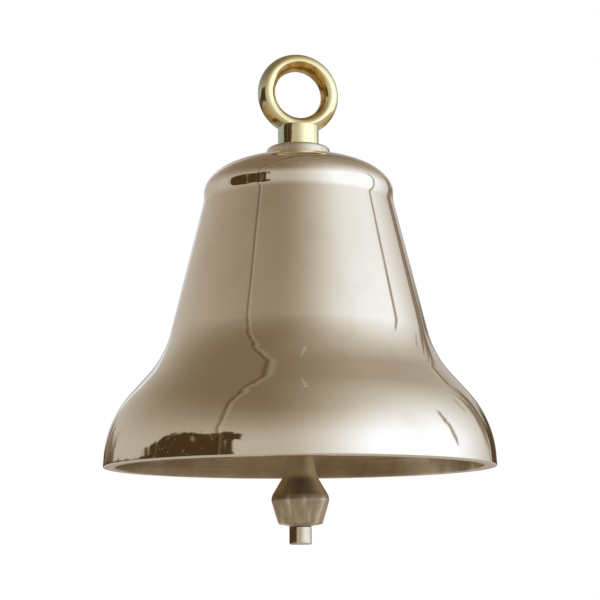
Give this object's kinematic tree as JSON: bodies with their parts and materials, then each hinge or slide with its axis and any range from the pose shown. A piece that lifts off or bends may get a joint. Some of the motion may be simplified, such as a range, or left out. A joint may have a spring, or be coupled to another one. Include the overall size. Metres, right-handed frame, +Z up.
{
  "type": "hanging bell",
  "caption": "Polished cast bronze hanging bell with a screwed-on brass lifting eye and a clapper that swings on a forked hanger under the crown.",
  "frame": {"origin": "centre of the lifting eye's hole", "axes": "+Z up along the bell's axis, +Y along the eye's hole and the clapper's pin; the clapper swings towards +X and -X"},
  "size_m": [0.2498, 0.2498, 0.3219],
  "materials": {
    "bell_bronze": "polished",
    "eye_brass": "polished",
    "clapper_bronze": "satin",
    "tail_bronze": "polished",
    "bush_bronze": "satin",
    "zinc_steel": "satin",
    "forged_steel": "dull",
    "fibre": "matt"
  },
  "bodies": {
    "bell": {"bell_shell": "bell_bronze", "hanging_eye": "eye_brass", "crown_stud": "zinc_steel", "crown_packing": "fibre", "crown_washer": "zinc_steel", "crown_nut": "zinc_steel", "fork_lock_nut": "zinc_steel", "clapper_fork": "forged_steel", "fork_pin": "zinc_steel", "pin_washer": "zinc_steel", "split_pin": "zinc_steel", "fork_spacers": "bush_bronze"},
    "clapper": {"clapper_rod": "forged_steel", "lug_bush": "bush_bronze", "clapper_bulb": "clapper_bronze", "clapper_tail": "tail_bronze"}
  },
  "joints": [
    {"name": "clapper_swing", "type": "hinge", "parent": "bell", "child": "clapper", "pos_m": [0, 0, -0.0995], "axis": [0, 1, 0], "range_deg": [-35, 35]}
  ]
}
